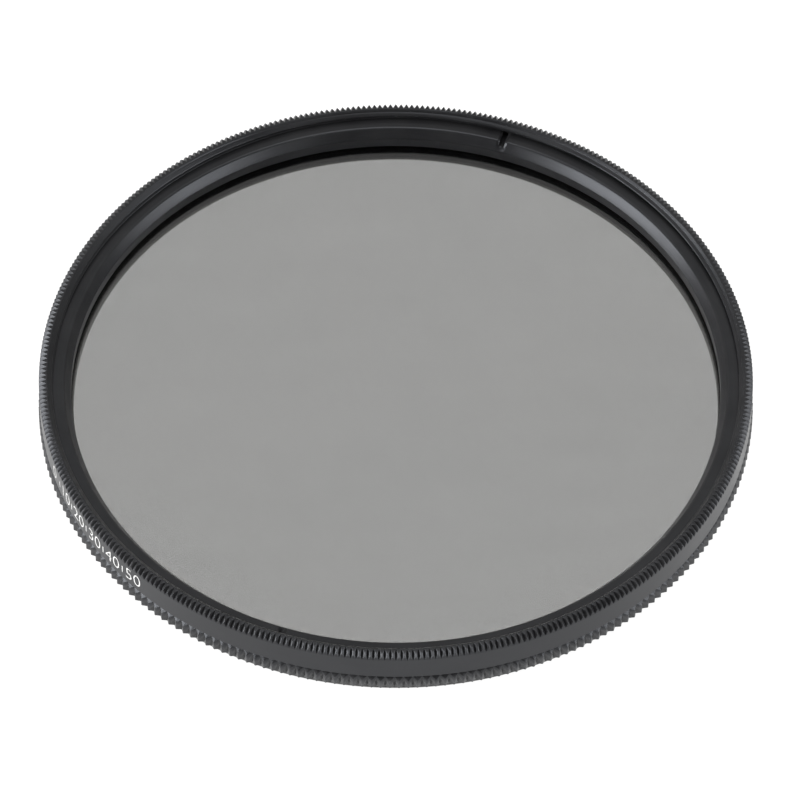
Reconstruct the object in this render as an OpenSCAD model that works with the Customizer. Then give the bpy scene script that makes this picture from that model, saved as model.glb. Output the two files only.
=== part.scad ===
// Rotating screw-in polarising filter for a camera lens.
// The base ring screws into the lens and stays still. The front ring turns on it,
// and carries a laminated disc of glass and film under a screwed retaining ring.
// All sizes are in millimetres. The optical axis is Z, the front of the filter is up,
// and the origin is on the axis at the end face of the rear thread.

/* [Mounting thread] */
// Nominal diameter of the mounting thread, the same at the front and the rear
thread_d = 77; // [58:0.5:95]
// Pitch of the mounting thread
thread_pitch = 0.75; // [0.5:0.05:1]
// Length of the rear thread
rear_thread_l = 1.5; // [1.3:0.05:3]
// Width of the run-out groove between the rear thread and its shoulder
runout_w = 0.25; // [0.15:0.05:0.4]
// Depth of the run-out groove below the thread's root
runout_depth = 0.08; // [0.05:0.01:0.15]
// Depth of the undercut that the run-out groove makes into the shoulder's face
undercut_depth = 0.05; // [0.03:0.01:0.1]
// How far the undercut reaches out past the thread's crest
undercut_rim = 0.1; // [0.05:0.01:0.3]
// Chamfer at the start of the rear thread
rear_chamfer = 0.3; // [0.1:0.05:0.4]
// Chamfer at the mouth of the front thread
mouth_chamfer = 0.57; // [0.2:0.01:0.6]

/* [Base ring] */
// Height of the knurled flange
flange_h = 1.7; // [1.4:0.05:3]
// How far the flange stands out from the mounting thread
flange_rim = 1.27; // [1:0.01:2]
// Chamfer round the flange's front edge
flange_chamfer = 0.4; // [0.1:0.05:0.5]
// Chamfer round the flange's rear edge
flange_rear_chamfer = 0.08; // [0.05:0.01:0.2]
// Wall left between the root of the rear thread and the turning bore
thread_wall = 0.79; // [0.7:0.01:1.2]
// Number of coarse V teeth round the flange
grip_teeth = 250; // [120:2:280]
// Depth of the coarse V teeth
grip_depth = 0.38; // [0.2:0.01:0.5]
// Height turned off the sharp crests of the coarse teeth
crest_trim = 0.03; // [0.02:0.01:0.08]

/* [Front ring] */
// Height of the front ring's outer band
band_h = 3.84; // [3.5:0.01:6]
// Wall between the front thread and the outer band
band_wall = 1.51; // [1.2:0.01:2.5]
// Chamfer round the front edge that carries the fine knurl
edge_chamfer = 0.32; // [0.2:0.01:0.5]
// Number of fine V grooves across the front edge
edge_teeth = 405; // [200:5:420]
// Depth of the fine V grooves, square to the chamfer
edge_groove_depth = 0.4; // [0.1:0.01:0.41]
// Angle between the flanks of a fine V groove, in degrees
edge_groove_angle = 70; // [60:1:90]
// Gap between the two rings, seen as a dark line
ring_gap = 0.11; // [0.05:0.01:0.3]
// Length of the sleeve that turns inside the base ring
sleeve_l = 2.46; // [2.3:0.01:2.9]
// Wall of the sleeve round the glass
sleeve_wall = 0.55; // [0.45:0.01:1]
// Radial running clearance between the sleeve and the base ring
running_gap = 0.05; // [0.02:0.01:0.09]
// Width of the ledge that the glass sits on
ledge_w = 0.75; // [0.4:0.05:1.5]
// Depth of the ledge behind the front ring's shoulder
ledge_depth = 1.3; // [1.1:0.01:1.4]

/* [Snap wire] */
// Diameter of the spring wire that holds the rings together
wire_d = 0.5; // [0.35:0.01:0.55]
// How far the wire reaches into the base ring's groove
wire_reach = 0.25; // [0.15:0.01:0.3]
// Distance from the sleeve's end to the middle of the wire
wire_inset = 0.6; // [0.55:0.01:0.7]
// Opening between the ends of the wire, in degrees
wire_opening = 14; // [5:1:30]
// Clearance of the wire in both grooves
wire_gap = 0.05; // [0.02:0.01:0.08]

/* [Glass and film] */
// Thickness of the front glass
front_glass_t = 0.7; // [0.5:0.05:0.9]
// Thickness of the rear glass
rear_glass_t = 0.7; // [0.5:0.05:0.9]
// Thickness of the linear polarising film
polariser_t = 0.1; // [0.05:0.01:0.3]
// Thickness of the quarter-wave film
retarder_t = 0.1; // [0.05:0.01:0.3]
// Ground chamfer round both glasses
glass_chamfer = 0.12; // [0.05:0.01:0.25]
// Radial clearance of the glass in its pocket
glass_gap = 0.05; // [0.02:0.01:0.1]

/* [Retaining ring] */
// Height of the threaded body of the retaining ring
retainer_h = 1.47; // [1.2:0.01:1.8]
// Length of the skirt that presses on the glass
skirt_l = 0.84; // [0.7:0.01:1.2]
// Wall of the skirt
skirt_wall = 0.5; // [0.4:0.01:0.7]
// Width of the retaining ring's flat front face, with the thread round it
retainer_face = 1.59; // [1.2:0.01:1.7]
// Depth of the cone that runs from the front face towards the glass
cone_depth = 1.14; // [0.5:0.01:1.3]
// Clearance of the retaining ring's thread crests in the front ring
retainer_gap = 0.06; // [0.02:0.01:0.08]
// Space left under the retaining ring's body, so that the skirt presses first
press_gap = 0.1; // [0.05:0.01:0.3]
// Width of the two spanner slots
slot_w = 0.65; // [0.4:0.05:1.5]
// Depth of the two spanner slots
slot_depth = 0.7; // [0.4:0.05:1]
// Angle of the spanner slots round the axis, in degrees
slot_angle = 71; // [0:1:180]
// How far the retaining ring's wide bore runs on above its front face
bore_overlap = 0.08; // [0.05:0.01:0.2]

/* [Hidden] */
$fn = 240;

// Standard 60 degree thread: height of the fundamental triangle for this pitch
thread_h = thread_pitch * cos(30);
thread_r = thread_d / 2;
thread_root_r = thread_r - thread_h * 17 / 24;
front_bore_r = thread_r - thread_h * 5 / 8;

// Heights up the axis, from the end of the rear thread
flange_top_z = rear_thread_l + flange_h;
shoulder_z = flange_top_z + ring_gap;
front_z = shoulder_z + band_h;
sleeve_z = shoulder_z - sleeve_l;
ledge_z = shoulder_z - ledge_depth;
wire_z = sleeve_z + wire_inset;
retarder_z = ledge_z + rear_glass_t;
polariser_z = retarder_z + retarder_t;
front_glass_z = polariser_z + polariser_t;
glass_top_z = front_glass_z + front_glass_t;
retainer_z = glass_top_z + skirt_l;
retainer_top_z = retainer_z + retainer_h;
shelf_z = retainer_z - press_gap;

// Radii from the axis
flange_r = thread_r + flange_rim;
turning_bore_r = thread_root_r - thread_wall;
sleeve_r = turning_bore_r - running_gap;
pocket_r = sleeve_r - sleeve_wall;
glass_r = pocket_r - glass_gap;
window_r = pocket_r - ledge_w;
band_r = front_bore_r + band_wall;
retainer_r = thread_r - retainer_gap;
retainer_lip_r = retainer_r - retainer_face;
skirt_bore_r = glass_r - skirt_wall;
wire_r = turning_bore_r + wire_reach - wire_d / 2;
base_groove_r = wire_r + wire_d / 2 + wire_gap;
sleeve_groove_r = wire_r - wire_d / 2 - wire_gap;
groove_half_w = wire_d / 2 + wire_gap;

// How far a cutting tool runs past the metal that it cuts
overrun = 0.5;
// How far the V tool stands above the edge that it cuts, which keeps it clear of the next one
tool_rise = 0.02;

// Shades of the finishes
black_anodised = [0.11, 0.11, 0.12];
spring_steel = [0.62, 0.62, 0.64];
neutral_glass = [0.42, 0.43, 0.44, 0.6];
film_grey = [0.3, 0.3, 0.31, 0.8];

// A band of metal turned away, from one radius to another
module turned_groove(inner_r, outer_r, low_z, width) {
    rotate_extrude()
        translate([inner_r, low_z])
            square([outer_r - inner_r, width]);
}

// Outline of a ring of V teeth: one crest and one root for each tooth
module v_teeth(crest_r, depth, teeth) {
    step = 180 / teeth;
    polygon([
        for (i = [0 : 2 * teeth - 1])
            let (r = i % 2 == 0 ? crest_r : crest_r - depth)
                [r * cos(i * step), r * sin(i * step)]
    ]);
}

// A V tool that cuts one fine groove straight across the 45 degree front edge
module edge_groove_tool() {
    floor_r = band_r - edge_chamfer - edge_groove_depth * sqrt(2);
    height = edge_groove_depth + tool_rise;
    half_w = height * tan(edge_groove_angle / 2);
    run = (edge_chamfer + edge_groove_depth * sqrt(2)) * sqrt(2) + 2 * overrun;
    translate([floor_r, 0, front_z])
        rotate([0, 135, 0])
            translate([0, 0, -overrun])
                linear_extrude(height = run)
                    polygon([[0, 0], [-height, -half_w], [-height, half_w]]);
}

// Fixed ring: rear thread, knurled flange and the bore that the sleeve turns in
module base_ring() {
    color(black_anodised)
    difference() {
        intersection() {
            rotate_extrude()
                polygon([
                    [turning_bore_r, 0],
                    [thread_r - rear_chamfer, 0],
                    [thread_r, rear_chamfer],
                    [thread_r, rear_thread_l - runout_w],
                    [thread_root_r - runout_depth, rear_thread_l - runout_w],
                    [thread_root_r - runout_depth, rear_thread_l + undercut_depth],
                    [thread_r + undercut_rim, rear_thread_l + undercut_depth],
                    [thread_r + undercut_rim, rear_thread_l],
                    [flange_r - flange_rear_chamfer, rear_thread_l],
                    [flange_r, rear_thread_l + flange_rear_chamfer],
                    [flange_r, flange_top_z - flange_chamfer],
                    [flange_r - flange_chamfer, flange_top_z],
                    [turning_bore_r, flange_top_z]
                ]);
            linear_extrude(height = flange_top_z)
                v_teeth(flange_r + crest_trim, crest_trim + grip_depth, grip_teeth);
        }
        turned_groove(turning_bore_r - overrun, base_groove_r, wire_z - groove_half_w, 2 * groove_half_w);
    }
}

// Open ring of round spring wire in the grooves of the base ring and the sleeve
module snap_wire() {
    color(spring_steel)
    translate([0, 0, wire_z])
        rotate([0, 0, wire_opening / 2])
            rotate_extrude(angle = 360 - wire_opening)
                translate([wire_r, 0])
                    circle(d = wire_d, $fn = 32);
}

// Turning ring: outer band, front thread, glass pocket and sleeve
module front_ring() {
    color(black_anodised)
    difference() {
        rotate_extrude()
            polygon([
                [window_r, sleeve_z],
                [sleeve_r, sleeve_z],
                [sleeve_r, shoulder_z],
                [band_r, shoulder_z],
                [band_r, front_z - edge_chamfer],
                [band_r - edge_chamfer, front_z],
                [front_bore_r + mouth_chamfer, front_z],
                [front_bore_r, front_z - mouth_chamfer],
                [front_bore_r, retainer_top_z + bore_overlap],
                [thread_r, retainer_top_z + bore_overlap],
                [thread_r, shelf_z],
                [pocket_r, shelf_z],
                [pocket_r, ledge_z],
                [window_r, ledge_z]
            ]);
        turned_groove(sleeve_groove_r, sleeve_r + overrun, wire_z - groove_half_w, 2 * groove_half_w);
        for (i = [0 : edge_teeth - 1])
            rotate([0, 0, i * 360 / edge_teeth])
                edge_groove_tool();
    }
}

// Screwed ring that presses its skirt on the glass, with two spanner slots
module retaining_ring() {
    color(black_anodised)
    difference() {
        rotate_extrude()
            polygon([
                [skirt_bore_r, glass_top_z],
                [glass_r, glass_top_z],
                [glass_r, retainer_z],
                [retainer_r, retainer_z],
                [retainer_r, retainer_top_z],
                [retainer_lip_r, retainer_top_z],
                [skirt_bore_r, retainer_top_z - cone_depth]
            ]);
        rotate([0, 0, slot_angle])
            translate([-retainer_r - overrun, -slot_w / 2, retainer_top_z - slot_depth])
                cube([2 * retainer_r + 2 * overrun, slot_w, slot_depth + overrun]);
    }
}

// Glass disc with its outer edge ground at both faces
module glass_disc(low_z, thickness) {
    rotate_extrude()
        polygon([
            [0, low_z],
            [glass_r - glass_chamfer, low_z],
            [glass_r, low_z + glass_chamfer],
            [glass_r, low_z + thickness - glass_chamfer],
            [glass_r - glass_chamfer, low_z + thickness],
            [0, low_z + thickness]
        ]);
}

// Front glass of the laminate
module front_glass() {
    color(neutral_glass)
        glass_disc(front_glass_z, front_glass_t);
}

// Linear polarising film, bonded behind the front glass
module polarising_film() {
    color(film_grey)
    translate([0, 0, polariser_z])
        cylinder(r = glass_r - glass_chamfer, h = polariser_t);
}

// Quarter-wave film, bonded behind the polarising film
module quarter_wave_film() {
    color(film_grey)
    translate([0, 0, retarder_z])
        cylinder(r = glass_r - glass_chamfer, h = retarder_t);
}

// Rear glass of the laminate, on the front ring's ledge
module rear_glass() {
    color(neutral_glass)
        glass_disc(ledge_z, rear_glass_t);
}

base_ring();
snap_wire();
front_ring();
retaining_ring();
front_glass();
polarising_film();
quarter_wave_film();
rear_glass();
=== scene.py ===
"""Dresses a rotating screw-in polarising filter and sets it on a plain pale studio table.

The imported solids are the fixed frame. Each metal ring, each glass, each film and the snap wire
gets a finer surface with its knurl, its thread and its edges, and stands for its solid.
Sizes are in millimetres, as in the solids' source, and every mesh is made in metres.
The optical axis is Z, the front of the filter is up, and angles run anticlockwise from +X.
"""

import logging
from dataclasses import dataclass
from enum import Enum
from typing import Sequence

import bmesh
import bpy
import numpy as np
from mathutils import Matrix

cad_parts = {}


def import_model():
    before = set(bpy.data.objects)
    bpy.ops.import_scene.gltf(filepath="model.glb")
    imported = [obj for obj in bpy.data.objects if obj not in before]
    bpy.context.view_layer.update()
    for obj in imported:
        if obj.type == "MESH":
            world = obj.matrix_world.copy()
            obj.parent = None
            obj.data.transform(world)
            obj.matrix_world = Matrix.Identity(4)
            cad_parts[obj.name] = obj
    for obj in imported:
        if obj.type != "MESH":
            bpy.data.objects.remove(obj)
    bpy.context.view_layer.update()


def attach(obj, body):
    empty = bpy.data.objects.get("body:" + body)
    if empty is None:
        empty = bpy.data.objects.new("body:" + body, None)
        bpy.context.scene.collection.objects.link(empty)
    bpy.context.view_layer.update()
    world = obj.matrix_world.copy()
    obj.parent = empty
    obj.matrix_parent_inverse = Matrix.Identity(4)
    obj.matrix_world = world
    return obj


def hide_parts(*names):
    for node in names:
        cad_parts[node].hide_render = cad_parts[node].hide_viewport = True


LOG = logging.getLogger("filter")
MM = 0.001
TURN = 2 * np.pi


class Body(Enum):
    """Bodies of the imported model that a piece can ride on."""

    BASE = "base"
    ROTOR = "rotor"


class Slot(Enum):
    """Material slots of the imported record."""

    ANODISED = "black_anodised"
    SPRING = "spring_steel"
    GLASS = "neutral_glass"
    POLARISER = "polarising_sheet"
    RETARDER = "retarder_sheet"


@dataclass(frozen=True)
class ThreadForm:
    """The filter thread: a 60 degree V of one pitch, flat at its crest and its root."""

    nominal_r: float = 38.5
    pitch: float = 0.75
    steps: int = 16

    @property
    def height(self) -> float:
        """Height of the sharp V that the thread is cut from."""
        return self.pitch * np.cos(np.radians(30))

    @property
    def bore_r(self) -> float:
        """Crest radius of the inner thread."""
        return self.nominal_r - self.height * 5 / 8

    @property
    def root_r(self) -> float:
        """Root radius of the outer thread."""
        return self.nominal_r - self.height * 17 / 24

    def radius(self, theta: np.ndarray, z: np.ndarray, least_r: float) -> np.ndarray:
        """Radius of the thread at an angle and a height.

        The distance along the axis from the helix z = pitch * angle / turn sets the radius: it is the
        nominal one within a sixteenth of the pitch, then falls by 1 / tan 30 down to the least one.

        Args:
            theta: angles in radians.
            z: heights in millimetres.
            least_r: the radius that the V is cut off at.

        Returns:
            The radii in millimetres, in the shape of theta and z together.
        """
        turns = z / self.pitch - theta / TURN
        away = np.abs(turns - np.round(turns)) * self.pitch
        cut = (away - self.pitch / 16) / np.tan(np.radians(30))
        return np.clip(self.nominal_r - cut, least_r, self.nominal_r)

    def rows(self, low_z: float, high_z: float, columns: int) -> tuple[np.ndarray, np.ndarray]:
        """Grid of rows that climb with the helix and stop at two heights.

        Row i has the height pitch * (i / steps + angle / turn), held between the two heights.

        Args:
            low_z: lower end of the thread.
            high_z: upper end of the thread.
            columns: columns round the axis.

        Returns:
            Angles and heights, both as rows by columns + 1.
        """
        first = int(np.floor(low_z / self.pitch * self.steps)) - self.steps
        last = int(np.ceil(high_z / self.pitch * self.steps))
        index = np.arange(first, last + 1)[:, None]
        theta = np.linspace(0, TURN, columns + 1)[None, :]
        z = self.pitch * (index / self.steps + theta / TURN)
        return np.broadcast_to(theta, z.shape), np.clip(z, low_z, high_z)


@dataclass(frozen=True)
class FilterSizes:
    """Heights and radii that more than one part of the filter shares, as in the solids' source."""

    thread: ThreadForm = ThreadForm()
    rear_thread_l: float = 1.5
    flange_top_z: float = 3.2
    shoulder_z: float = 3.31
    front_z: float = 7.15
    sleeve_z: float = 0.85
    wire_z: float = 1.45
    wire_groove_half_w: float = 0.30
    ledge_z: float = 2.01
    retarder_z: float = 2.71
    polariser_z: float = 2.81
    front_glass_z: float = 2.91
    glass_top_z: float = 3.61
    retainer_z: float = 4.45
    retainer_top_z: float = 5.92
    wide_bore_top_z: float = 6.0
    shelf_z: float = 4.35
    turning_bore_r: float = 37.25
    sleeve_r: float = 37.20
    pocket_r: float = 36.65
    glass_r: float = 36.60
    window_r: float = 35.90
    band_r: float = 39.604


def turned(radius: np.ndarray, theta: np.ndarray, z: np.ndarray) -> np.ndarray:
    """Points at a radius and an angle round the axis and at a height, in metres.

    Args:
        radius: radii in millimetres.
        theta: angles in radians.
        z: heights in millimetres.

    Returns:
        An array of the common shape of the three, with a last axis of x, y, z.
    """
    radius, theta, z = np.broadcast_arrays(radius, theta, z)
    return np.stack([radius * np.cos(theta), radius * np.sin(theta), z], axis=-1) * MM


def tooth_columns(teeth: int, phases: tuple) -> np.ndarray:
    """Columns round a knurl: tooth n has one at n + each phase, and the last one closes the turn.

    Args:
        teeth: teeth round the axis.
        phases: places of the columns across one tooth, from 0 to 1.

    Returns:
        The columns' places, counted in teeth.
    """
    return np.append((np.arange(teeth)[:, None] + np.array(phases)[None, :]).reshape(-1), teeth)


def rounded(corners: Sequence[tuple[float, float]], cut: float) -> np.ndarray:
    """Outline with each corner between its two ends replaced by a short curve of three points.

    A corner C turns into (1-s)^2 A + 2 s (1-s) C + s^2 B for s = 0, 1/2 and 1, where A and B lie on the
    sides next to C, at the cut's length or a third of the side, whichever is shorter.

    Args:
        corners: radius and height of each corner, in order.
        cut: length taken off both sides of a corner.

    Returns:
        The new outline, one row of radius and height for each point.
    """
    corner = np.array(corners, float)
    before = np.roll(corner, 1, axis=0) - corner
    after = np.roll(corner, -1, axis=0) - corner
    before_l = np.linalg.norm(before, axis=1, keepdims=True)
    after_l = np.linalg.norm(after, axis=1, keepdims=True)
    start = corner + before / before_l * np.minimum(cut, before_l / 3)
    end = corner + after / after_l * np.minimum(cut, after_l / 3)
    curve = np.stack([start, (start + 2 * corner + end) / 4, end], axis=1)
    return np.concatenate([corner[:1], curve[1:-1].reshape(-1, 2), corner[-1:]])


class Shell:
    """A closed surface put together from patches, which are joined by merging their borders."""

    MERGE = 2e-8
    WEAR = "edge_wear"

    def __init__(self) -> None:
        """Starts with no points and no faces."""
        self.points: list[np.ndarray] = []
        self.wear: list[np.ndarray] = []
        self.corners: list[np.ndarray] = []
        self.counts: list[np.ndarray] = []
        self.size = 0

    def place(self, points: np.ndarray, wear: np.ndarray | float = 0.0) -> np.ndarray:
        """Adds points and gives their numbers.

        Args:
            points: an array of any shape with a last axis of x, y, z, in metres.
            wear: how worn each point is, from 0 to 1.

        Returns:
            The points' numbers, in the shape of the points.
        """
        shape = points.shape[:-1]
        count = int(np.prod(shape))
        self.points.append(points.reshape(-1, 3))
        self.wear.append(np.broadcast_to(wear, shape).reshape(-1))
        numbers = np.arange(self.size, self.size + count).reshape(shape)
        self.size += count
        return numbers

    def faces(self, numbers: np.ndarray) -> None:
        """Adds faces of one size, one row of point numbers each."""
        self.corners.append(numbers.reshape(-1))
        self.counts.append(np.full(numbers.shape[0], numbers.shape[1]))

    def grid(self, points: np.ndarray, wear: np.ndarray | float = 0.0) -> None:
        """Adds a patch of quads on a grid of points.

        Args:
            points: rows by columns by x, y, z.
            wear: how worn each point is, from 0 to 1.
        """
        n = self.place(points, wear)
        quads = np.stack([n[:-1, :-1], n[:-1, 1:], n[1:, 1:], n[1:, :-1]], axis=-1)
        self.faces(quads.reshape(-1, 4))

    def cells(self, fine: np.ndarray, coarse: np.ndarray) -> None:
        """Adds one many-sided face for each tooth, between a row of many columns and a row of few.

        Args:
            fine: points of the fine row, as teeth * n + 1 by x, y, z.
            coarse: points of the coarse row, as teeth * m + 1 by x, y, z.
        """
        teeth = int(np.gcd(len(fine) - 1, len(coarse) - 1))
        many, few = (len(fine) - 1) // teeth, (len(coarse) - 1) // teeth
        tooth = np.arange(teeth)[:, None]
        upper = self.place(fine)[tooth * many + np.arange(many + 1)[None, :]]
        lower = self.place(coarse)[tooth * few + np.arange(few, -1, -1)[None, :]]
        self.faces(np.concatenate([upper, lower], axis=1))

    def build(self, name: str, weighted: bool = True) -> bpy.types.Object:
        """Makes the object, with its borders merged and its faces turned outwards.

        Args:
            name: name of the piece.
            weighted: whether large faces set the shading of the small ones beside them.

        Returns:
            The new object, linked to the scene.
        """
        mesh = bpy.data.meshes.new(name)
        corners = np.concatenate(self.corners).astype(np.int32)
        counts = np.concatenate(self.counts)
        mesh.vertices.add(self.size)
        mesh.vertices.foreach_set("co", np.concatenate(self.points).astype(np.float32).reshape(-1))
        mesh.loops.add(len(corners))
        mesh.loops.foreach_set("vertex_index", corners)
        mesh.polygons.add(len(counts))
        mesh.polygons.foreach_set("loop_start", (np.cumsum(counts) - counts).astype(np.int32))
        wear = mesh.attributes.new(self.WEAR, "FLOAT", "POINT")
        wear.data.foreach_set("value", np.concatenate(self.wear).astype(np.float32))
        mesh.update(calc_edges=True)
        work = bmesh.new()
        work.from_mesh(mesh)
        bmesh.ops.remove_doubles(work, verts=work.verts, dist=self.MERGE)
        bmesh.ops.recalc_face_normals(work, faces=work.faces)
        open_edges = sum(len(edge.link_faces) != 2 for edge in work.edges)
        work.to_mesh(mesh)
        work.free()
        mesh.shade_smooth()
        piece = bpy.data.objects.new(name, mesh)
        bpy.context.scene.collection.objects.link(piece)
        if weighted:
            shading = piece.modifiers.new("crisp_edges", "WEIGHTED_NORMAL")
            shading.mode = "FACE_AREA"
            shading.weight = 50
        LOG.info("%s: %d faces, %d open edges", name, len(mesh.polygons), open_edges)
        return piece


class Value:
    """A number that flows through the nodes, worked on with Python's operators."""

    def __init__(self, graph: "Graph", socket: bpy.types.NodeSocket) -> None:
        """Keeps the graph and the socket that the number comes out of."""
        self.graph = graph
        self.socket = socket

    def other(self, output: int | str) -> "Value":
        """Another output of the same node."""
        return Value(self.graph, self.socket.node.outputs[output])

    def math(self, operation: str, *operands: "Value | float") -> "Value":
        """A Math node on this value and the operands."""
        inputs = dict(enumerate((self, *operands)))
        return self.graph.node("ShaderNodeMath", {"operation": operation}, inputs)

    def clamped(self) -> "Value":
        """This value held between 0 and 1."""
        return self.graph.node("ShaderNodeClamp", {}, {0: self})

    def __add__(self, other: "Value | float") -> "Value":
        """This value plus another."""
        return self.math("ADD", other)

    def __sub__(self, other: "Value | float") -> "Value":
        """This value less another."""
        return self.math("SUBTRACT", other)

    def __rsub__(self, other: float) -> "Value":
        """A number less this value."""
        return self.graph.node("ShaderNodeMath", {"operation": "SUBTRACT"}, {0: other, 1: self})

    def __mul__(self, other: "Value | float") -> "Value":
        """This value times another."""
        return self.math("MULTIPLY", other)

    def __truediv__(self, other: "Value | float") -> "Value":
        """This value divided by another."""
        return self.math("DIVIDE", other)

    __radd__ = __add__
    __rmul__ = __mul__


class Graph:
    """The nodes of one material or of the surroundings, filled through one method."""

    def __init__(self, tree: bpy.types.NodeTree) -> None:
        """Starts with an empty tree."""
        self.tree = tree
        tree.nodes.clear()

    def node(self, kind: str, settings: dict | None = None, inputs: dict | None = None,
             output: int | str = 0) -> Value:
        """Adds a node.

        Args:
            kind: the node's type.
            settings: its properties, which are set first.
            inputs: a value or a number for each socket, by name or number.
            output: the output that is given back.

        Returns:
            The chosen output.
        """
        made = self.tree.nodes.new(kind)
        for key, setting in (settings or {}).items():
            setattr(made, key, setting)
        for key, given in (inputs or {}).items():
            if isinstance(given, Value):
                self.tree.links.new(given.socket, made.inputs[key])
            else:
                made.inputs[key].default_value = given
        return Value(self, made.outputs[output]) if len(made.outputs) else Value(self, made.inputs[0])

    def noise(self, vector: Value, scale: float, detail: float = 2.0, roughness: float = 0.5) -> Value:
        """Noise in three dimensions, about 0.5 on average."""
        return self.node("ShaderNodeTexNoise", {}, {
            "Vector": vector, "Scale": scale, "Detail": detail, "Roughness": roughness})

    def blend(self, amount: Value | float, first: Value | tuple, second: Value | tuple) -> Value:
        """A colour between two others."""
        settings = {"data_type": "RGBA", "clamp_factor": True}
        return self.node("ShaderNodeMix", settings, {0: amount, 6: first, 7: second}, output=2)

    def stretched(self, value: Value, low: float, high: float, start: float, end: float) -> Value:
        """A value moved from one range to another, and held inside it."""
        return self.node("ShaderNodeMapRange", {"clamp": True}, {
            "Value": value, "From Min": low, "From Max": high, "To Min": start, "To Max": end})

    def shader(self, settings: dict) -> Value:
        """The main surface shader with the given sockets."""
        return self.node("ShaderNodeBsdfPrincipled", {}, settings)

    def surface(self, shader: Value) -> None:
        """Gives the shader to the material."""
        self.node("ShaderNodeOutputMaterial", {}, {"Surface": shader})


class Finish:
    """How the surface of a piece looks. Each finish below fills the graph in its own way."""

    name: str = "finish"

    def fill(self, graph: Graph) -> None:
        """Adds the nodes of the finish to an empty graph."""
        raise NotImplementedError

    def material(self) -> bpy.types.Material:
        """The finish as a new material."""
        material = bpy.data.materials.new(self.name)
        material.use_nodes = True
        self.fill(Graph(material.node_tree))
        return material


@dataclass(frozen=True)
class AnodisedFinish(Finish):
    """Satin black anodising on turned aluminium, rubbed paler along the edges."""

    name: str = "satin_black_anodised"
    dye: tuple = (0.012, 0.012, 0.013, 1)
    faded: tuple = (0.019, 0.019, 0.020, 1)
    rubbed: tuple = (0.42, 0.42, 0.43, 1)
    rough_low: float = 0.29
    rough_high: float = 0.38
    along_turning: float = 0.3
    mark_spacing: float = 0.07
    mark_height: float = 0.0006
    mark_share: float = 0.7
    mark_bends: float = 10.0
    grain_size: float = 0.03
    relief: float = 0.5
    cloud_size: float = 6.25
    cloud_share: float = 0.65
    patches_per_metre: float = 900.0
    wear_amount: float = 0.10
    sheen_tint: tuple = (0.88, 0.92, 1.0, 1)

    def fill(self, graph: Graph) -> None:
        """Adds turning marks round the axis, a fine etched grain, uneven dye and rubbed edges."""
        place = graph.node("ShaderNodeTexCoord", {}, {}, "Object")
        x = graph.node("ShaderNodeSeparateXYZ", {}, {0: place})
        y, z = x.other("Y"), x.other("Z")
        radius = (x * x + y * y).math("SQRT")
        marks_per_metre = 1 / (self.mark_spacing * MM)
        around = graph.node("ShaderNodeCombineXYZ", {}, {
            0: x / radius * self.mark_bends, 1: y / radius * self.mark_bends, 2: z * marks_per_metre})
        marks = graph.node("ShaderNodeTexNoise", {"noise_dimensions": "4D"}, {
            "Vector": around, "W": radius * marks_per_metre, "Scale": 1.0, "Detail": 2.0})
        grain = graph.noise(place, 1 / (self.grain_size * MM), 1.0)
        cloud = graph.noise(place, 1 / (self.cloud_size * MM), 3.0, 0.6)
        mixed = cloud * self.cloud_share + marks * (1 - self.cloud_share)
        tone = graph.stretched(mixed, 0.35, 0.65, 0.0, 1.0)
        colour = graph.blend(tone, self.dye, self.faded)
        worn = graph.node("ShaderNodeAttribute", {"attribute_name": Shell.WEAR}, {}, "Fac")
        patchy = graph.stretched(graph.noise(place, self.patches_per_metre), 0.35, 0.7, 0.0, 1.0)
        wear = (worn * worn * patchy * self.wear_amount).clamped()
        colour = graph.blend(wear, colour, self.rubbed)
        rough = graph.stretched(tone, 0.0, 1.0, self.rough_low, self.rough_high)
        height = marks * self.mark_share + grain * (1 - self.mark_share)
        relief = graph.node("ShaderNodeBump", {}, {
            "Height": height, "Strength": self.relief, "Distance": self.mark_height * MM}, "Normal")
        graph.surface(graph.shader({
            "Base Color": colour, "Roughness": rough, "Normal": relief, "Metallic": 0.0,
            "IOR": 1.38, "Specular Tint": self.sheen_tint, "Anisotropic": self.along_turning}))


@dataclass(frozen=True)
class GlassFinish(Finish):
    """Polished optical glass with a faint coating."""

    name: str = "coated_optical_glass"
    tint: tuple = (0.985, 0.985, 0.98, 1)
    tint_deep: tuple = (0.975, 0.98, 0.975, 1)

    def fill(self, graph: Graph) -> None:
        """Adds clear glass whose tint changes very slightly over the disc."""
        place = graph.node("ShaderNodeTexCoord", {}, {}, "Object")
        cloud = graph.noise(place, 30.0, 1.0)
        graph.surface(graph.shader({
            "Base Color": graph.blend(cloud, self.tint, self.tint_deep), "Roughness": 0.0,
            "IOR": 1.52, "Transmission Weight": 1.0, "Specular IOR Level": 0.15}))


@dataclass(frozen=True)
class FilmFinish(Finish):
    """Thin bonded film: part of the light goes straight through, the rest is lost in it."""

    name: str = "grey_polarising_film"
    dye: tuple = (0.004, 0.004, 0.004, 1)
    dye_light: tuple = (0.006, 0.006, 0.006, 1)
    density: float = 0.416
    unevenness: float = 0.004

    def fill(self, graph: Graph) -> None:
        """Adds a dark film whose density varies very slightly along its stretch."""
        place = graph.node("ShaderNodeTexCoord", {}, {}, "Object")
        drawn = graph.node("ShaderNodeMapping", {}, {"Vector": place, "Scale": (1.0, 6.0, 1.0)})
        streak = graph.noise(drawn, 60.0, 2.0)
        density = graph.stretched(
            streak, 0.3, 0.7, self.density - self.unevenness, self.density + self.unevenness)
        graph.surface(graph.shader({
            "Base Color": graph.blend(streak, self.dye, self.dye_light), "Roughness": 0.4,
            "Specular IOR Level": 0.0, "Alpha": density}))


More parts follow.
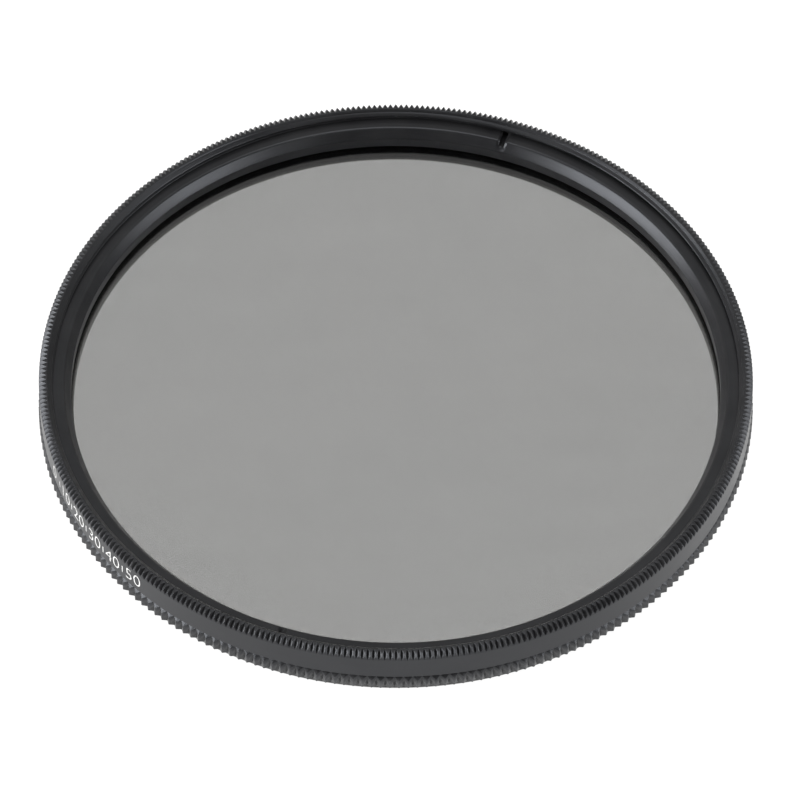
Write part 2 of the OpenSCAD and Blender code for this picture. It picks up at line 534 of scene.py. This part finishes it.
@dataclass(frozen=True)
class WireFinish(Finish):
    """Bright drawn spring wire."""

    name: str = "drawn_spring_wire"
    bright: tuple = (0.52, 0.52, 0.54, 1)
    dull: tuple = (0.38, 0.38, 0.40, 1)

    def fill(self, graph: Graph) -> None:
        """Adds bare metal with fine streaks and dull patches."""
        place = graph.node("ShaderNodeTexCoord", {}, {}, "Object")
        streak = graph.noise(place, 3000.0, 3.0)
        graph.surface(graph.shader({
            "Base Color": graph.blend(streak, self.dull, self.bright), "Metallic": 1.0,
            "Roughness": graph.stretched(streak, 0.3, 0.7, 0.25, 0.4)}))


@dataclass(frozen=True)
class MarkingFinish(Finish):
    """Figures burned into the anodising by laser, which bleaches its dye to a pale grey."""

    name: str = "bleached_figures"
    pale: tuple = (0.80, 0.80, 0.79, 1)
    thin: tuple = (0.66, 0.66, 0.65, 1)

    def fill(self, graph: Graph) -> None:
        """Adds a matt pale grey that is thinner in places."""
        place = graph.node("ShaderNodeTexCoord", {}, {}, "Object")
        patch = graph.noise(place, 9000.0, 2.0)
        graph.surface(graph.shader({
            "Base Color": graph.blend(patch, self.thin, self.pale), "Roughness": 0.6}))


@dataclass(frozen=True)
class TableFinish(Finish):
    """Plain pale light table with a painted contact shade: its glow gives way to a dark ring under the foot
    of the filter.
    """

    name: str = "pale_table"
    paint: tuple = (0.15, 0.15, 0.15, 1)
    paint_deep: tuple = (0.147, 0.147, 0.147, 1)
    lit: tuple = (1, 1, 1, 1)
    painted_foot_shade: tuple = (0.03, 0.03, 0.03, 1)
    glow: float = 0.97
    foot_inner_r: float = 37.2
    foot_outer_r: float = 38.5
    shade_w: float = 0.1

    def fill(self, graph: Graph) -> None:
        """Adds an even white surface that glows softly, with a painted shade ring in place of the glow under
        the foot of the filter.
        """
        place = graph.node("ShaderNodeTexCoord", {}, {}, "Object")
        paint = graph.blend(graph.noise(place, 3.0, 1.0), self.paint, self.paint_deep)
        x = graph.node("ShaderNodeSeparateXYZ", {}, {0: place})
        y = x.other("Y")
        radius = (x * x + y * y).math("SQRT") / MM
        # Painted contact shade: a ring of dark glow colour under the filter's foot, set by its place on the
        # table and not cast by the lights.
        outside = graph.stretched(radius, self.foot_outer_r, self.foot_outer_r + self.shade_w, 0.0, 1.0)
        inside = graph.stretched(radius, self.foot_inner_r, self.foot_inner_r + self.shade_w, 1.0, 0.0)
        glow = graph.blend(outside + inside, self.painted_foot_shade, self.lit)
        graph.surface(graph.shader({
            "Base Color": paint, "Roughness": 0.9, "Specular IOR Level": 0.1,
            "Emission Color": glow, "Emission Strength": self.glow}))


@dataclass(frozen=True)
class Dressing:
    """What a finished piece needs from the frame: its body, its solid, its slot and its material."""

    body: Body
    slot: Slot
    material: bpy.types.Material
    node: str | None = None

    def put_on(self, piece: bpy.types.Object) -> bpy.types.Object:
        """Gives the piece its material and its body, and hides the solid it stands for."""
        piece.data.materials.clear()
        piece.data.materials.append(self.material)
        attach(piece, self.body.value)
        if self.node:
            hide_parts(self.node)
        return piece


@dataclass
class FrontRing:
    """Turning ring: band, fine knurl across the front edge, inner thread, glass pocket and sleeve."""

    sizes: FilterSizes
    teeth: int = 405
    edge_chamfer: float = 0.32
    groove_depth: float = 0.40
    groove_angle: float = 70.0
    groove_bottom_r: float = 0.015
    mouth_chamfer: float = 0.57
    sleeve_groove_r: float = 36.95
    edge_break: float = 0.02
    shoulder_break: float = 0.10
    wall_break: float = 0.04
    margin: float = 0.02
    round_dip: float = 0.199
    worn_share: float = 0.35
    phases: tuple = (0.0, 0.06, 0.458, 0.5, 0.542, 0.94)

    def knurl(self, shell: Shell) -> tuple[np.ndarray, np.ndarray]:
        """Adds the knurled edge, and gives the rows of points where it meets the lip and the band.

        A column at the distance x from the middle of its groove has the depth
        D = depth - sqrt(x^2 + q^2) / tan(half the groove's angle), at least 0, with q the round of its
        bottom. Its 45 degree slope then runs from the lip to the band, cut back by chamfer + D * sqrt 2
        from the edge, with a small round at either end.

        Args:
            shell: the surface that the knurl is added to.

        Returns:
            Points of the row on the lip and of the row on the band.
        """
        s = self.sizes
        phase = tooth_columns(self.teeth, self.phases)
        theta = phase * TURN / self.teeth
        pitch = TURN * (s.band_r - self.edge_chamfer) / self.teeth
        away = np.abs(phase - np.round(phase)) * pitch
        depth = np.maximum(self.groove_depth - np.hypot(away, self.groove_bottom_r) / self.flank_run, 0)
        back = self.edge_chamfer + depth * np.sqrt(2)
        e = self.edge_break
        slope = e / np.sqrt(2)
        dip, half_bend = self.round_dip * e, np.radians(45 / 2)
        steep, shallow = dip * np.cos(half_bend), dip * np.sin(half_bend)
        radius = np.stack([
            s.band_r - back - e, s.band_r - back - shallow, s.band_r - back + slope,
            np.full_like(back, s.band_r - slope), np.full_like(back, s.band_r - steep),
            np.full_like(back, s.band_r)])
        z = np.stack([
            np.full_like(back, s.front_z), np.full_like(back, s.front_z - steep),
            np.full_like(back, s.front_z - slope),
            s.front_z - back + slope, s.front_z - back - shallow, s.front_z - back - e])
        crest = np.clip(1 - depth / (self.worn_share * self.groove_depth), 0, 1)
        along = np.array([0.3, 1.0, 0.9, 0.9, 1.0, 0.3])
        points = turned(radius, theta[None, :], z)
        shell.grid(points, crest[None, :] * along[:, None])
        return points[0], points[-1]

    @property
    def flank_run(self) -> float:
        """How far a groove's flank runs sideways for each millimetre of depth."""
        return np.tan(np.radians(self.groove_angle / 2))

    @property
    def reach(self) -> float:
        """How far the deepest grooves reach from the edge, with their rounds."""
        depth = self.groove_depth - self.groove_bottom_r / self.flank_run
        return self.edge_chamfer + depth * np.sqrt(2) + self.edge_break

    def build(self) -> bpy.types.Object:
        """Makes the ring's whole surface.

        Returns:
            The new object.
        """
        s = self.sizes
        thread = s.thread
        shell = Shell()
        lip_row, band_row = self.knurl(shell)
        theta = np.linspace(0, TURN, self.teeth + 1)
        flat_r = s.band_r - self.reach - self.margin
        band_z = s.front_z - self.reach - self.margin
        shell.cells(lip_row, turned(flat_r, theta, s.front_z))
        shell.cells(band_row, turned(s.band_r, theta, band_z))

        helix, z = thread.rows(s.wide_bore_top_z, s.front_z, self.teeth)
        mouth = thread.bore_r + self.mouth_chamfer - (s.front_z - z)
        radius = np.maximum(thread.radius(helix, z, thread.bore_r), mouth)
        shell.grid(turned(radius, helix, z))
        mouth_r = radius[-1]
        shell.grid(turned(np.stack([mouth_r, np.full_like(mouth_r, flat_r)]), theta, s.front_z))

        outline = rounded([
            (thread.nominal_r, s.wide_bore_top_z), (thread.nominal_r, s.shelf_z), (s.pocket_r, s.shelf_z),
            (s.pocket_r, s.ledge_z), (s.window_r, s.ledge_z), (s.window_r, s.sleeve_z),
            (s.sleeve_r, s.sleeve_z), (s.sleeve_r, s.wire_z - s.wire_groove_half_w),
            (self.sleeve_groove_r, s.wire_z - s.wire_groove_half_w),
            (self.sleeve_groove_r, s.wire_z + s.wire_groove_half_w),
            (s.sleeve_r, s.wire_z + s.wire_groove_half_w), (s.sleeve_r, s.shoulder_z),
            (s.band_r - self.shoulder_break, s.shoulder_z), (s.band_r, s.shoulder_z + self.shoulder_break),
            (s.band_r, band_z)], self.wall_break)
        body = turned(outline[:, :1], theta[None, :], outline[:, 1:])
        thread_end = turned(radius[0], theta, s.wide_bore_top_z)
        shell.grid(np.concatenate([thread_end[None], body]))
        return shell.build("front_ring_turned")


@dataclass
class BaseRing:
    """Fixed ring: outer thread at the rear, coarsely knurled flange and the bore for the sleeve."""

    sizes: FilterSizes
    teeth: int = 250
    grip_depth: float = 0.38
    crest_trim: float = 0.03
    flange_r: float = 39.77
    front_chamfer: float = 0.4
    rear_chamfer: float = 0.08
    lead_chamfer: float = 0.3
    runout_w: float = 0.25
    runout_depth: float = 0.08
    undercut_depth: float = 0.05
    undercut_rim: float = 0.1
    groove_r: float = 37.55
    edge_break: float = 0.02
    wall_break: float = 0.04
    margin: float = 0.06
    phases: tuple = (0.0, 0.037, 0.45, 0.5, 0.55, 0.963)
    root_fill: float = 0.02
    worn_depth: float = 0.06
    inner_columns: int = 500

    def grip(self, shell: Shell) -> tuple[np.ndarray, np.ndarray]:
        """Adds the knurled wall with both its chamfers, and gives its rear and front rows.

        The wall's radius falls in a straight line from crest to root, with the crest turned off at the
        flange's radius and the root filled a little. Both chamfers are cones, and each column ends where its
        wall meets them. A small break follows the front chamfer at either end.

        Args:
            shell: the surface that the wall is added to.

        Returns:
            Points of the row on the rear face and of the row on the front face.
        """
        s = self.sizes
        phase = tooth_columns(self.teeth, self.phases)
        away = 2 * np.abs(phase - np.round(phase))
        sharp = self.flange_r + self.crest_trim - (self.grip_depth + self.crest_trim) * away
        wall = np.clip(sharp, self.flange_r - self.grip_depth + self.root_fill, self.flange_r)
        theta = phase * TURN / self.teeth
        rear_r = np.minimum(wall, self.flange_r - self.rear_chamfer)
        front_r = self.flange_r - self.front_chamfer
        top_z = s.flange_top_z - (wall - front_r)
        lip = np.minimum(self.edge_break, (wall - front_r) / 3)
        slope = lip / np.sqrt(2)
        radius = np.stack([rear_r, wall, wall, wall - slope, front_r + slope, np.full_like(wall, front_r)])
        z = np.stack([
            np.full_like(wall, s.rear_thread_l), s.rear_thread_l + (wall - rear_r), top_z - lip,
            top_z + slope, s.flange_top_z - slope, np.full_like(wall, s.flange_top_z)])
        crest = np.clip(1 - (self.flange_r - wall) / self.worn_depth, 0, 1)
        along = np.array([0.6, 0.7, 1.0, 1.0, 0.2, 0.2])
        points = turned(radius, theta[None, :], z)
        shell.grid(points, crest[None, :] * along[:, None])
        return points[0], points[-1]

    def build(self) -> bpy.types.Object:
        """Makes the ring's whole surface.

        Returns:
            The new object.
        """
        s = self.sizes
        thread = s.thread
        shell = Shell()
        rear_row, front_row = self.grip(shell)
        theta = np.linspace(0, TURN, self.inner_columns + 1)
        inner_r = self.flange_r - self.front_chamfer - self.margin
        shell.cells(rear_row, turned(inner_r, theta, s.rear_thread_l))
        shell.cells(front_row, turned(inner_r, theta, s.flange_top_z))

        thread_top = s.rear_thread_l - self.runout_w
        helix, z = thread.rows(0.0, thread_top, self.inner_columns)
        lead = thread.nominal_r - self.lead_chamfer + z
        radius = np.minimum(thread.radius(helix, z, thread.root_r), lead)
        shell.grid(turned(radius, helix, z))

        groove_r = thread.root_r - self.runout_depth
        rim_r, under_z = thread.nominal_r + self.undercut_rim, s.rear_thread_l + self.undercut_depth
        runout = rounded([
            (inner_r, s.rear_thread_l), (rim_r, s.rear_thread_l), (rim_r, under_z), (groove_r, under_z),
            (groove_r, thread_top)], self.wall_break)
        top = turned(runout[:, :1], theta[None, :], runout[:, 1:])
        shell.grid(np.concatenate([top, turned(radius[-1], theta, thread_top)[None]]))

        bore = rounded([
            (thread.root_r - self.margin, 0.0), (s.turning_bore_r, 0.0),
            (s.turning_bore_r, s.wire_z - s.wire_groove_half_w),
            (self.groove_r, s.wire_z - s.wire_groove_half_w),
            (self.groove_r, s.wire_z + s.wire_groove_half_w),
            (s.turning_bore_r, s.wire_z + s.wire_groove_half_w), (s.turning_bore_r, s.flange_top_z),
            (inner_r, s.flange_top_z)], self.wall_break)
        inside = turned(bore[:, :1], theta[None, :], bore[:, 1:])
        shell.grid(np.concatenate([turned(radius[0], theta, 0.0)[None], inside]))
        return shell.build("base_ring_turned")


@dataclass
class RetainingRing:
    """Screwed ring in front of the glass: flat face, cone and skirt, with two spanner slots."""

    sizes: FilterSizes
    outer_r: float = 38.44
    lip_r: float = 36.85
    skirt_r: float = 36.10
    cone_depth: float = 1.14
    slot_w: float = 0.65
    slot_depth: float = 0.7
    slot_angle: float = 71.0
    near_slot: float = 5.0
    lip_round: float = 0.22
    lip_lean: float = 0.6
    lip_points: int = 6
    wall_break: float = 0.04

    def build(self) -> bpy.types.Object:
        """Makes the ring's whole surface.

        The lip from the flat face A over the corner C to the cone B is the curve
        (1-s)^2 A + 2 s (1-s) C + s^2 B. Columns within a few degrees of a slot run parallel to it: their
        angle at the radius r is asin(offset / r). At each slot wall two columns share a place, and the inner
        one is held down to the slot's floor.

        Returns:
            The new object.
        """
        s = self.sizes
        top, floor = s.retainer_top_z, s.retainer_top_z - self.slot_depth
        cone_low = top - self.cone_depth
        cross_r = self.skirt_r + (floor - cone_low) / self.cone_depth * (self.lip_r - self.skirt_r)
        lip_out, lip_in = self.lip_r + self.lip_round, self.lip_r - self.lip_lean * self.lip_round
        lip_in_z = top - self.lip_round
        lower = rounded([
            (cross_r, floor), (self.skirt_r, cone_low), (self.skirt_r, s.glass_top_z),
            (s.glass_r, s.glass_top_z), (s.glass_r, s.retainer_z), (self.outer_r, s.retainer_z),
            (self.outer_r, top), (lip_out, top)], self.wall_break)
        curve_s = np.linspace(0, 1, self.lip_points)[:, None]
        lip = ((1 - curve_s) ** 2 * np.array([lip_out, top])
               + 2 * curve_s * (1 - curve_s) * np.array([self.lip_r, top])
               + curve_s ** 2 * np.array([lip_in, lip_in_z]))
        outline = np.concatenate([lower, lip[1:], lower[:1]])

        half_slot = np.degrees(np.arcsin(self.slot_w / 2 / self.outer_r))
        side = np.arange(1.0, 90.0)
        half_turn = np.concatenate([
            -side[::-1], [-half_slot, -half_slot, half_slot, half_slot], side, [90.0]])
        held = np.zeros(len(half_turn), bool)
        held[len(side) + 1:len(side) + 3] = True
        angle = np.radians(half_turn)[None, :]
        radius, z = outline[:, :1], outline[:, 1:]
        offset = self.outer_r * np.sin(angle)
        parallel = np.arcsin(np.clip(offset / radius, -1, 1))
        angle = np.where(np.abs(half_turn)[None, :] <= self.near_slot, parallel, angle)
        height = np.where(held[None, :], np.minimum(z, floor), z)
        theta = np.concatenate([angle, angle + np.pi], axis=1) + np.radians(self.slot_angle)
        theta = np.concatenate([theta, theta[:, :1] + TURN], axis=1)
        height = np.concatenate([height, height, height[:, :1]], axis=1)
        shell = Shell()
        shell.grid(turned(radius, theta, height))
        return shell.build("retaining_ring_turned")


@dataclass
class SnapWire:
    """Open ring of round spring wire with rounded ends."""

    sizes: FilterSizes
    ring_r: float = 37.25
    wire_r: float = 0.25
    opening: float = 14.0
    columns: int = 220
    end_columns: int = 6
    sides: int = 14

    def build(self) -> bpy.types.Object:
        """Makes the wire: a circle carried round the axis, that shrinks to a point over both ends.

        Near an end, at the distance d inside it, the circle's radius is sqrt(w^2 - (w - d)^2), with w the
        wire's radius.

        Returns:
            The new object.
        """
        half = np.radians(self.opening / 2)
        end = self.wire_r / self.ring_r
        cap = end * (1 - np.cos(np.linspace(0, np.pi / 2, self.end_columns)))
        run = np.linspace(half + end, TURN - half - end, self.columns)
        theta = np.concatenate([half + cap[:-1], run, (TURN - half - cap[:-1])[::-1]])
        inside = np.minimum(np.minimum(theta - half, TURN - half - theta) / end, 1)
        section = self.wire_r * np.sqrt(np.maximum(1 - (1 - inside) ** 2, 0))
        side = np.linspace(0, TURN, self.sides + 1)[:, None]
        shell = Shell()
        shell.grid(turned(
            self.ring_r + section * np.cos(side), theta[None, :], self.sizes.wire_z + section * np.sin(side)))
        return shell.build("snap_wire_drawn", weighted=False)


@dataclass
class Disc:
    """Round plate of the laminate: glass with a ground edge, or film with a square one."""

    name: str
    low_z: float
    high_z: float
    radius: float
    chamfer: float
    columns: int = 240

    def build(self) -> bpy.types.Object:
        """Makes the disc: its rim turned round the axis, and one flat face at either end.

        Returns:
            The new object.
        """
        theta = np.linspace(0, TURN, self.columns + 1)
        rim = np.array([
            (self.radius - self.chamfer, self.low_z), (self.radius, self.low_z + self.chamfer),
            (self.radius, self.high_z - self.chamfer), (self.radius - self.chamfer, self.high_z)])
        points = turned(rim[:, :1], theta[None, :], rim[:, 1:])
        shell = Shell()
        shell.grid(points)
        for row in (points[0, :-1], points[-1, :-1]):
            shell.faces(shell.place(row)[None, :])
        return shell.build(self.name)


@dataclass
class DegreeScale:
    """Plain degree figures with short marks between them, on the front ring's band."""

    sizes: FilterSizes
    first_angle: float = 199.0
    angle_step: float = 5.0
    figures: tuple = ("0", "10", "20", "30", "40", "50")
    marks_between: int = 1
    middle_z: float = 4.90
    figure_size: float = 2.6
    stroke_trim: float = 0.035
    mark_h: float = 1.0
    mark_w: float = 0.14
    lift: float = 0.006
    thickness: float = 0.008

    def figure(self, text: str) -> tuple[np.ndarray, list[np.ndarray]]:
        """Flat figures as a mesh.

        Args:
            text: the figures.

        Returns:
            Their points in millimetres, and the point numbers of each face.
        """
        curve = bpy.data.curves.new("figure", "FONT")
        curve.body = text
        curve.size = self.figure_size
        curve.align_x, curve.align_y = "CENTER", "CENTER"
        curve.extrude = self.thickness / 2
        curve.offset = -self.stroke_trim
        curve.resolution_u = 4
        holder = bpy.data.objects.new("figure", curve)
        bpy.context.scene.collection.objects.link(holder)
        bpy.context.view_layer.update()
        mesh = bpy.data.meshes.new_from_object(holder.evaluated_get(bpy.context.evaluated_depsgraph_get()))
        flat = np.zeros(len(mesh.vertices) * 3, np.float32)
        mesh.vertices.foreach_get("co", flat)
        faces = [np.array(face.vertices[:]) for face in mesh.polygons]
        bpy.data.objects.remove(holder)
        bpy.data.curves.remove(curve)
        bpy.data.meshes.remove(mesh)
        return flat.reshape(-1, 3).astype(float), faces

    def wrap(self, points: np.ndarray, angle: float) -> np.ndarray:
        """Bends flat points round the band: x runs round it, y along the axis and z away from it.

        Args:
            points: flat points in millimetres.
            angle: where x = 0 goes, in degrees.

        Returns:
            The points in metres.
        """
        reach = self.sizes.band_r + self.lift + self.thickness / 2
        x, y, z = points[..., 0], points[..., 1], points[..., 2]
        return turned(reach + z, np.radians(angle) + x / reach, self.middle_z + y)

    def build(self) -> bpy.types.Object:
        """Makes all figures and marks as one piece.

        Returns:
            The new object.
        """
        shell = Shell()
        for index, text in enumerate(self.figures):
            flat, faces = self.figure(text)
            numbers = shell.place(self.wrap(flat, self.first_angle + index * self.angle_step))
            for face in faces:
                shell.faces(numbers[face][None, :])
        x, y, z = self.mark_w / 2, self.mark_h / 2, self.thickness / 2
        corner = np.array([
            (-x, -y, -z), (x, -y, -z), (x, y, -z), (-x, y, -z),
            (-x, -y, z), (x, -y, z), (x, y, z), (-x, y, z)])
        sides = np.array([
            (0, 3, 2, 1), (4, 5, 6, 7), (0, 1, 5, 4), (1, 2, 6, 5), (2, 3, 7, 6), (3, 0, 4, 7)])
        for index in range(len(self.figures) - 1):
            for part in range(1, self.marks_between + 1):
                turn = index + part / (self.marks_between + 1)
                numbers = shell.place(self.wrap(corner, self.first_angle + turn * self.angle_step))
                shell.faces(numbers[sides])
        return shell.build("degree_figures", weighted=False)


@dataclass(frozen=True)
class Softbox:
    """Flat soft light that faces the filter from a direction."""

    name: str
    azimuth: float
    elevation: float
    distance: float
    width: float
    height: float
    radiance: float

    def put_up(self) -> None:
        """Adds the light: an area light sends out 4 * area * radiance watts at an even radiance."""
        light = bpy.data.lights.new(self.name, "AREA")
        light.shape = "RECTANGLE"
        light.size, light.size_y = self.width, self.height
        light.energy = 4 * self.width * self.height * self.radiance
        lamp = bpy.data.objects.new(self.name, light)
        a, e = np.radians(self.azimuth), np.radians(self.elevation)
        away = np.array([np.cos(e) * np.cos(a), np.cos(e) * np.sin(a), np.sin(e)])
        side = np.array([-np.sin(a), np.cos(a), 0.0])
        turn = Matrix(np.column_stack([side, np.cross(away, side), away]).tolist()).to_4x4()
        lamp.matrix_world = Matrix.Translation((away * self.distance).tolist()) @ turn
        bpy.context.scene.collection.objects.link(lamp)


@dataclass(frozen=True)
class PhotoCamera:
    """Camera at the photograph's angle: a long lens, a small tilt and a small shift."""

    target_z: float = 6.74
    distance: float = 783.2
    elevation: float = 50.743
    roll: float = 0.265
    focal: float = 7058.8
    image_w: float = 800.0
    target_px: tuple = (395.9, 372.7)
    sensor: float = 36.0

    def put_up(self) -> None:
        """Adds the camera and makes it the scene's."""
        data = bpy.data.cameras.new("photo_camera")
        data.sensor_width = self.sensor
        data.lens = self.focal / self.image_w * self.sensor
        data.shift_x = (self.image_w / 2 - self.target_px[0]) / self.image_w
        data.shift_y = (self.target_px[1] - self.image_w / 2) / self.image_w
        data.clip_start, data.clip_end = 0.05, 20.0
        e, r = np.radians(self.elevation), np.radians(self.roll)
        right, up = np.array([1.0, 0.0, 0.0]), np.array([0.0, np.sin(e), np.cos(e)])
        back = np.array([0.0, -np.cos(e), np.sin(e)])
        x = np.cos(r) * right + np.sin(r) * up
        y = np.cos(r) * up - np.sin(r) * right
        place = np.array([0.0, 0.0, self.target_z]) + back * self.distance
        camera = bpy.data.objects.new("photo_camera", data)
        turn = Matrix(np.column_stack([x, y, back]).tolist()).to_4x4()
        camera.matrix_world = Matrix.Translation((place * MM).tolist()) @ turn
        bpy.context.scene.collection.objects.link(camera)
        bpy.context.scene.camera = camera


@dataclass
class Studio:
    """Pale table, soft lights, soft surroundings and the camera."""

    camera: PhotoCamera = PhotoCamera()
    table: TableFinish = TableFinish()
    table_w: float = 5.0
    softboxes: tuple = (
        Softbox("overhead", 90.0, 88.0, 1.4, 0.9, 0.9, 2.4),
        Softbox("left_softbox", 197.0, 14.0, 0.9, 0.74, 0.42, 9.0),
        Softbox("right_softbox", 334.0, 14.0, 0.9, 0.60, 0.42, 5.2),
    )
    sky: float = 0.58
    photographer_side: float = 0.06
    low_beside: float = 0.35
    low_behind: float = 1.5
    room_tint: tuple = (1.0, 0.98, 0.94, 1)

    def surroundings(self) -> None:
        """Lights the room softly: dim on the photographer's side and brightest low behind the filter.

        The strength is back * (low + (1 - low) * rise), which the room's top then lifts to 1, times sky.
        """
        world = bpy.data.worlds.new("studio_room")
        world.use_nodes = True
        bpy.context.scene.world = world
        graph = Graph(world.node_tree)
        toward = graph.node("ShaderNodeTexCoord", {}, {}, "Generated")
        y = graph.node("ShaderNodeSeparateXYZ", {}, {0: toward}, "Y")
        height = y.other("Z")
        back = graph.stretched(y, -0.5, 0.3, self.photographer_side, 1.0)
        low = graph.stretched(y, 0.55, 1.0, self.low_beside, self.low_behind)
        rise = graph.stretched(height, 0.0, 0.6, 0.0, 1.0)
        top = graph.stretched(height, 0.7, 0.95, 0.0, 1.0)
        light = back * (low + (1 - low) * rise)
        light = (light + (1 - light) * top) * self.sky
        room = graph.node("ShaderNodeBackground", {}, {"Color": self.room_tint, "Strength": light})
        graph.node("ShaderNodeOutputWorld", {}, {"Surface": room})

    def build(self) -> None:
        """Sets up everything round the filter."""
        mesh = bpy.data.meshes.new("table")
        half = self.table_w / 2
        corners = [(-half, -half, 0), (half, -half, 0), (half, half, 0), (-half, half, 0)]
        mesh.from_pydata(corners, [], [(0, 1, 2, 3)])
        floor = bpy.data.objects.new("table", mesh)
        bpy.context.scene.collection.objects.link(floor)
        mesh.materials.append(self.table.material())
        for softbox in self.softboxes:
            softbox.put_up()
        self.surroundings()
        self.camera.put_up()
        view = bpy.context.scene.view_settings
        view.view_transform = "Standard"
        view.look = "None"
        LOG.info("studio: %d soft lights", len(self.softboxes))


def main() -> None:
    """Builds the filter and its studio, piece by piece."""
    logging.basicConfig(level=logging.INFO, format="%(name)s: %(message)s")
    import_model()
    sizes = FilterSizes()
    metal = AnodisedFinish().material()
    glass = GlassFinish().material()
    film_gap, film_chamfer, glass_chamfer = 0.01, 0.01, 0.12

    Dressing(Body.BASE, Slot.ANODISED, metal, "base_ring").put_on(BaseRing(sizes).build())
    Dressing(Body.ROTOR, Slot.ANODISED, metal, "front_ring").put_on(FrontRing(sizes).build())
    Dressing(Body.ROTOR, Slot.ANODISED, metal, "retaining_ring").put_on(RetainingRing(sizes).build())
    Dressing(Body.BASE, Slot.SPRING, WireFinish().material(), "snap_wire").put_on(SnapWire(sizes).build())

    rear = Disc(
        "rear_glass_polished", sizes.ledge_z, sizes.retarder_z - film_gap, sizes.glass_r, glass_chamfer)
    front = Disc(
        "front_glass_polished", sizes.front_glass_z + film_gap, sizes.glass_top_z, sizes.glass_r,
        glass_chamfer)
    Dressing(Body.ROTOR, Slot.GLASS, glass, "rear_glass").put_on(rear.build())
    Dressing(Body.ROTOR, Slot.GLASS, glass, "front_glass").put_on(front.build())
    film_r = sizes.glass_r - glass_chamfer
    retarder = Disc(
        "quarter_wave_sheet", sizes.retarder_z, sizes.polariser_z - film_gap, film_r, film_chamfer)
    polariser = Disc(
        "polarising_sheet", sizes.polariser_z, sizes.front_glass_z - film_gap, film_r, film_chamfer)
    clear = FilmFinish("clear_quarter_wave_film", density=0.01, unevenness=0.002)
    Dressing(Body.ROTOR, Slot.RETARDER, clear.material(), "quarter_wave_film").put_on(retarder.build())
    Dressing(Body.ROTOR, Slot.POLARISER, FilmFinish().material(), "polarising_film").put_on(polariser.build())

    Dressing(Body.ROTOR, Slot.ANODISED, MarkingFinish().material()).put_on(DegreeScale(sizes).build())
    Studio().build()


if __name__ == "__main__":
    main()
